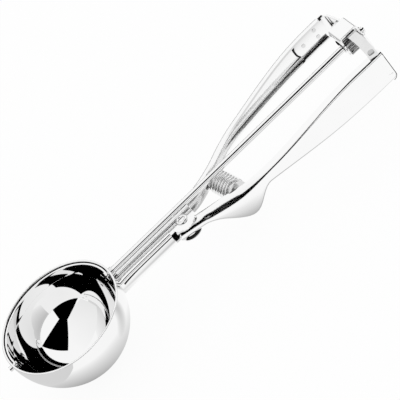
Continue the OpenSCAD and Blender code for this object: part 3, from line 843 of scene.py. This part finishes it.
def lever():
    """Channel-shaped lever with a pointed finger guard, a closed rear edge and two ears on the rivet."""
    def section(x):
        corner = lever_corner(x)
        flange = max(FLANGE, corner + LEVER_LIP_LEAST)
        return channel(x, lever_y, -1, lever_top(x), lever_underside(x), corner, ARM_LOW_R, flange)

    tail = [LEVER_TAIL_X + LEVER_TAIL_R * math.sin(turn) for turn in between(0, QUARTER, 6)[1:]]
    piece = lofted("lever_sheet", stations(NOSE_X, LEVER_TAIL_X) + tail, section, -LEFT)
    edit(piece, lambda co: co.x > LEVER_END - HAIR)
    bpy.ops.mesh.edge_face_add()
    bpy.ops.object.mode_set(mode="OBJECT")
    thicken(piece)
    top, low = LEVER_EAR_TOP - SHEET, LEVER_EAR_LOW
    piece = joined(piece,
                   disc("lever_ear_top", PIVOT, LEVER_EAR_R, top + HAIR, top + SHEET - HAIR),
                   disc("lever_ear_low", PIVOT, LEVER_EAR_R, low + HAIR, low + SHEET - HAIR))
    to_frame(soften(piece), "lever", "sheet", "lever_handle")


# ---------------------------------------------------------------- rivets and spring
def domed(piece, radius, segments):
    """Rounds the rim of a rivet's head."""
    return soften(piece, radius, segments, angle=30)


def rivet():
    """Rivet with a low domed foot and a rolled, dimpled head."""
    shank = disc("rivet", PIVOT, RIVET_R, FORK_LOW - RIVET_PAST, PLATE_Z + RIVET_PAST, ROUND_FACETS)
    fresh()
    bpy.ops.mesh.primitive_torus_add(major_segments=ROUND_FACETS, minor_segments=ROLL_FACETS,
                                     major_radius=RIVET_HEAD_R - RIVET_ROLL_R, minor_radius=RIVET_ROLL_R,
                                     location=(*PIVOT, PLATE_Z))
    head = named("rivet_head")
    head = joined(head, disc("rivet_dimple", PIVOT, RIVET_DIMPLE_R, *RIVET_DIMPLE, ROUND_FACETS))
    foot = disc("rivet_foot", PIVOT, RIVET_HEAD_R, FORK_LOW - RIVET_HEAD_H, FORK_LOW, ROUND_FACETS)
    piece = joined(shank, head, domed(foot, RIVET_FOOT_ROUND, 5))
    piece.name = "rivet_rolled"
    to_frame(piece, "frame", "polished", "pivot_rivet")


def node_middle(node):
    """Middle in plan, bottom and top of a node, in the drawing frame."""
    low, high = (Vector(v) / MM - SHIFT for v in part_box(node))
    middle = (low + high) / 2
    return (middle.x, middle.y), low.z, high.z


def rack_rivet():
    """Low domed rivet through the rack and the turned-in edge of the lever."""
    middle, low, high = node_middle("rack_rivet")
    thick = RACK_RIVET_HEAD_H
    head = disc("rack_rivet_head", middle, RACK_RIVET_HEAD_R, high - thick, high, 48)
    domed(head, RACK_RIVET_ROUND, 4)
    foot = disc("rack_rivet_foot", middle, RACK_RIVET_HEAD_R, low, low + thick, 48)
    domed(foot, RACK_RIVET_ROUND, 4)
    shank = disc("rack_rivet", middle, RACK_RIVET_R, low + thick / 2, high - thick / 2, 32)
    # the darker copy of the machined steel paints shade on this rivet
    to_frame(joined(shank, head, foot), "lever", "shaded_machined", "rack_rivet")


def spring():
    """Wire coil between the two seats."""
    run = SPRING_NEAR - SPRING_FAR
    steps = int(COIL_FACETS * COIL_TURNS)
    fresh()
    bpy.ops.mesh.primitive_circle_add(vertices=WIRE_FACETS, radius=WIRE_R, rotation=(QUARTER, 0, 0),
                                      location=(COIL_R, 0, WIRE_R))
    piece = named("spring_coil")
    modify(piece, "SCREW", axis="Z", angle=4 * QUARTER * COIL_TURNS, screw_offset=run.length - 2 * WIRE_R,
           steps=steps, render_steps=steps, use_normal_calculate=True)
    edit(piece, lambda co: True)
    bpy.ops.mesh.fill_holes(sides=WIRE_FACETS)
    bpy.ops.mesh.normals_make_consistent(inside=False)
    bpy.ops.object.mode_set(mode="OBJECT")
    aim = run.to_track_quat("Z", "X").to_matrix().to_4x4()
    piece.data.transform(Matrix.Translation(SPRING_FAR) @ aim)
    to_frame(piece, "frame", "wire", "return_spring")
    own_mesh(piece)


# ---------------------------------------------------------------- bracket
def plate_edges(x):
    """Top and bottom of the weld plate at x, with its rounded front corners."""
    short = min(max(BRACKET_CORNER - (x - BRACKET_X), 0), BRACKET_CORNER)
    inset = BRACKET_CORNER - math.sqrt(BRACKET_CORNER ** 2 - short ** 2)
    return BRACKET_TOP - inset, BRACKET_LOW + inset


def bracket_strap():
    """Weld plate in the handle, bend and rear wall."""
    line = [(x, fixed_y(x) - SHEET - BRACKET_GAP) for x in stations(BRACKET_X, BEND_X, 1.0)]
    line += on_circle((BEND_X, BEND_Y), BRACKET_BEND, between(QUARTER, BEND_TO, 12)[1:-1])
    line += on_circle(PIVOT, WALL_OUT, between(BEND_TO, WALL_TO, 20))

    def section(point):
        return upright(*point, *plate_edges(point[0]))

    return thicken(lofted("bracket_strap", line, section, STRAP_OUTWARDS))


def bracket_cage():
    """Plate over the rack, bent down on the rear wall and in front of the rack."""
    rear = WALL_OUT + PIVOT_X - OVERLAP
    bend_z = CAGE_TOP - CAGE_BEND
    path = [(rear, BRACKET_LOW), (rear, bend_z)]
    path += on_circle((rear - CAGE_BEND, bend_z), CAGE_BEND, between(0, QUARTER, 6)[1:])
    path += on_circle((CAGE_X + CAGE_BEND, bend_z), CAGE_BEND, between(QUARTER, 2 * QUARTER, 6))
    path += [(CAGE_X, 0)]

    def section(point):
        x, z = point
        high_y = CAGE_EAR_R if point is path[-1] else CAGE_Y[1]
        return [Vector((x, y, z)) for y in between(CAGE_Y[0], high_y, 3)]

    return thicken(lofted("bracket_cage", path, section, UP))


def bracket():
    """Bent strap: weld plate in the handle, rear wall, and the cage over the rack with its front ear."""
    piece = joined(bracket_strap(), bracket_cage(),
                   disc_along_x("cage_ear", CAGE_X + SHEET / 2, CAGE_EAR_R, SHEET, ROUND_FACETS))
    to_frame(soften(piece), "frame", "sheet", "end_bracket")


# ---------------------------------------------------------------- dark faces laid on the steel
# they paint shade and dark reflections onto the steel, where the real scoop is in shade or mirrors dark
# surroundings
# dark faces laid on the steel they stand for the dark lines of the photograph, which on the real scoop
# may be reflections or shade


def cage_inside():
    """Painted shade: dark face under the plate over the rack."""
    under = CAGE_TOP - SHEET
    low = (CAGE_X + SHEET + CAGE_INSET, CAGE_Y[0] + CAGE_INSET, under - SKIN)
    high = (PIVOT_X + WALL_R - CAGE_INSET, CAGE_Y[1] - CAGE_INSET, under - NEAR)
    to_frame(block("cage_inside", low, high), "frame", "painted_shade")


def ear_low_edge():
    """Painted shade: dark edge of the fork's lower ear."""
    low, high = FORK_LOW + EAR_EDGE_LOW, FORK_LOW + SHEET + 2 * HAIR
    edge = disc("ear_low_edge", PIVOT, EAR_LOW_R + SKIN_LIFT, low, high)
    to_frame(edge, "frame", "painted_shade")


def fork_inside():
    """Painted shade: dark faces on the web and floor of the fork, seen past the ears of the lever."""
    web_face = WEB_Y - SHEET
    floor_z = FORK_LOW + SHEET
    end_x = PIVOT_X - LEVER_EAR_R
    web = block("fork_inside", (FORK_WEB_X, web_face - SKIN - NEAR, floor_z + HAIR),
                (end_x, web_face - NEAR, PLATE_LOW - HAIR))
    tie = block("fork_floor", (FORK_FLOOR_X, PIVOT_Y + OVERLAP, floor_z + NEAR),
                (end_x, web_face - OVERLAP, floor_z + SKIN))
    to_frame(joined(web, tie), "frame", "painted_shade")


def handle_end_inside():
    """Painted shade: dark block in the corner between the bracket and the rear end of the fixed handle."""
    face = SPREAD - SHEET
    low = (END_CORNER_X[0], face - END_CORNER_W, BRACKET_TOP - END_CORNER_H)
    high = (END_CORNER_X[1], face - SKIN_LIFT, BRACKET_TOP + SKIN)
    to_frame(block("handle_end_inside", low, high), "frame", "painted_shade")


def handle_floor_inside():
    """Painted shade: dark strip along the lower turned-in edge of the fixed handle, which widens to the
    rear.
    """
    def section(x):
        wide = FLOOR_STRIP_W * ease(x, *FLOOR_STRIP_X) + SKIN
        y, z = fixed_y(x) - FLOOR_STRIP_IN, fixed_low(x) + SHEET + SKIN + NEAR
        return [Vector((x, y - d, z)) for d in between(0, wide, 3)]

    strip = lofted("handle_floor_inside", stations(FLOOR_STRIP_X[0], FLOOR_STRIP_END), section, UP)
    to_frame(thicken(strip, SKIN), "frame", "painted_shade")


def weld_plate_shade_line():
    """Painted shade: dark line round the front end of the weld plate."""
    def section(x):
        return upright(x, fixed_y(x) - SHEET - SKIN_LIFT, *plate_edges(x + PLATE_SHADE_W))

    places = stations(BRACKET_X - PLATE_SHADE_W, PLATE_SHADE_END, PLATE_SHADE_STEP)
    to_frame(thicken(lofted("weld_plate_shade_line", places, section, LEFT), SKIN), "frame", "painted_shade")


# ---------------------------------------------------------------- all pieces
PIECES = (
    cage_inside, ear_low_edge, fork_inside, handle_end_inside, handle_floor_inside, weld_plate_shade_line,
    lever_end_edge, bowl, blade, fixed_handle, lever, neck_shade_line, neck_trough, rivet, rack_rivet, rod,
    spring, bracket,
)
for make in PIECES:
    make()

SLOT_OF = {row["node"]: row["material_slot"] for row in frame["record"]["subparts"]}
for node, piece in frame["nodes"].items():
    piece.data.materials.clear()
    # the pinion takes the darker copy of the machined steel, painted shade
    piece.data.materials.append(FINISHES["shaded_machined" if node == "pinion" else SLOT_OF[node]])


# ---------------------------------------------------------------- studio, in metres
FLOOR_SIZE = 6
FLOOR_PAINT = 0.9
FLOOR_GLOW_SEEN = 0.92
FLOOR_GLOW_MIRRORED = 0.65
SHADE_DISC = 0.15
SHADE_DISC_Z = 0.0004
SHADE_DARKEST = 0.3
ROOM_R = 1.5
ROOM_H = 0.36
ROOM_SHADE = 0.12

# painted shadow of the object on the table, seen only in its steel
# dark spots under the object that only its steel reflects, set after the photograph:
# x, y, half length, half width
SPOTS = ((-0.082, -0.008, 0.045, 0.04), (0.03, -0.022, 0.115, 0.014))

# cards that only the steel reflects, placed after the bowl's reflections in the photograph:
# name, distance, corners as (turn, rise) in degrees, first and far shade
CARDS = (
    ("gap_upper", 0.45, ((-99, 47), (-85, 36), (-15, 23), (11, 61)), 0.0, 0.0),
    ("gap_lower", 0.45, ((-85, 36), (-99, 47), (-150, 10), (-92, -2)), 0.0, 0.0),
    ("left_box", 0.6, ((182, 31), (-146, 21), (-88, 43), (45, 54)), 0.86, 1.0),
    ("left_wall", 0.8, ((108, 6), (200, 6), (200, 52), (108, 52)), 0.55, 0.95),
)

# grey card on the table to the left of the bowl, which only the steel reflects
TABLE_LEFT = ((-0.106, -0.3, 0.0006), (-0.106, 0.3, 0.0006), (-0.7, 0.3, 0.0006), (-0.7, -0.3, 0.0006))
TABLE_LEFT_SHADES = (0.7, 0.78)


def stage_piece(name):
    """Names the new piece of the studio."""
    piece = bpy.context.object
    piece.name = name
    return piece


def only_reflected(piece, f, colour):
    """Makes a piece glow in one colour that only shows in reflections."""
    f.show(f.glow(colour))
    f.material.cycles.emission_sampling = "NONE"
    piece.data.materials.append(f.material)
    piece.visible_camera = False
    piece.visible_diffuse = False
    piece.visible_shadow = False


def card(name, corners, shade, far_shade):
    """A flat studio card, shaded from its first side to the opposite one."""
    fresh()
    bpy.ops.mesh.primitive_plane_add(size=1)
    piece = stage_piece(name)
    for v, corner in zip(piece.data.vertices, (corners[0], corners[1], corners[3], corners[2])):
        v.co = corner
    piece.data.update()
    f = Finish(name)
    run = (corners[2] + corners[3] - corners[0] - corners[1]) / 2
    start = (corners[0] + corners[1]) / 2
    scale = run / run.length_squared
    along = f.add("ShaderNodeVectorMath", {"operation": "DOT_PRODUCT"}, {0: f.place(), 1: scale}, output=1)
    only_reflected(piece, f, f.blend(along - start.dot(scale), shade, far_shade))


def room():
    """Dark room beyond the white table, seen only as thin lines on rounded edges."""
    fresh()
    bpy.ops.mesh.primitive_cylinder_add(vertices=64, radius=ROOM_R, depth=ROOM_H, end_fill_type="NOTHING",
                                        location=(0, 0, ROOM_H / 2))
    only_reflected(stage_piece("horizon"), Finish("horizon"), grey(ROOM_SHADE))


def toward(turn, rise, distance):
    """Point seen from the bowl at a compass turn from +X and a height above the floor, both in degrees."""
    turn, rise = math.radians(turn), math.radians(rise)
    aim = Vector((math.cos(turn) * math.cos(rise), math.sin(turn) * math.cos(rise), math.sin(rise)))
    return SHIFT * MM + aim * distance


def table_shade():
    """Painted shadow of the object on the table: a disc with soft dark spots that only its steel reflects.
    """
    fresh()
    bpy.ops.mesh.primitive_circle_add(vertices=96, radius=SHADE_DISC, fill_type="NGON",
                                      location=(0, 0, SHADE_DISC_Z))
    piece = named("table_shade")
    f = Finish("table_shade")
    point = f.place()
    away = 1.0
    for x, y, half_x, half_y in SPOTS:
        shift = (-x / half_x, -y / half_y, 0)
        scale = (1 / half_x, 1 / half_y, 0)
        placed = f.add("ShaderNodeMapping", inputs={"Vector": point, "Location": shift, "Scale": scale})
        length = f.add("ShaderNodeVectorMath", {"operation": "LENGTH"}, {0: placed}, output=1)
        away = length.math("MINIMUM", away)
    only_reflected(piece, f, f.blend(away, SHADE_DARKEST, 1.0))


def floor():
    """Pale floor that takes the shadow and glows a little for the camera and for reflections."""
    fresh()
    bpy.ops.mesh.primitive_plane_add(size=FLOOR_SIZE)
    piece = stage_piece("floor")
    f = Finish("floor_white")
    paint = f.add("ShaderNodeBsdfDiffuse", inputs={"Color": grey(FLOOR_PAINT)})
    seen = f.add("ShaderNodeLightPath", output="Is Camera Ray")
    mirrored = f.add("ShaderNodeLightPath", output="Is Glossy Ray")
    share = seen * FLOOR_GLOW_SEEN + mirrored * FLOOR_GLOW_MIRRORED
    f.show(f.add("ShaderNodeMixShader", inputs={0: share, 1: paint, 2: f.glow(grey(1.0))}))
    f.material.cycles.emission_sampling = "NONE"
    piece.data.materials.append(f.material)


def sky():
    """Plain white light from all round."""
    world = bpy.data.worlds.new("studio")
    bpy.context.scene.world = world
    world.use_nodes = True
    background = world.node_tree.nodes["Background"]
    background.inputs["Color"].default_value = grey(1.0)
    background.inputs["Strength"].default_value = 1.0


def camera():
    """The camera of the photograph."""
    look = Vector((
        math.sin(CAM_AZIMUTH) * math.cos(CAM_ELEVATION),
        -math.cos(CAM_AZIMUTH) * math.cos(CAM_ELEVATION),
        math.sin(CAM_ELEVATION)))
    right = (-look).cross(UP).normalized()
    up = right.cross(-look)
    turned_right = math.cos(CAM_ROLL) * right - math.sin(CAM_ROLL) * up
    turned_up = math.sin(CAM_ROLL) * right + math.cos(CAM_ROLL) * up
    data = bpy.data.cameras.new("photo_camera")
    data.sensor_width = SENSOR_MM
    data.lens = FOCAL_PX * SENSOR_MM / IMAGE_W
    data.clip_end = CAM_CLIP
    eye = bpy.data.objects.new("photo_camera", data)
    basis = Matrix((turned_right, turned_up, look)).transposed().to_4x4()
    eye.matrix_world = Matrix.Translation(CAM_TARGET + look * CAM_DISTANCE) @ basis
    bpy.context.collection.objects.link(eye)
    bpy.context.scene.camera = eye


camera()
sky()
floor()
table_shade()
bpy.context.scene.view_settings.view_transform = "Standard"
for card_name, card_distance, card_corners, first_shade, last_shade in CARDS:
    card(card_name, [toward(*corner, card_distance) for corner in card_corners], first_shade, last_shade)
card("table_left", [Vector(corner) for corner in TABLE_LEFT], *TABLE_LEFT_SHADES)
room()
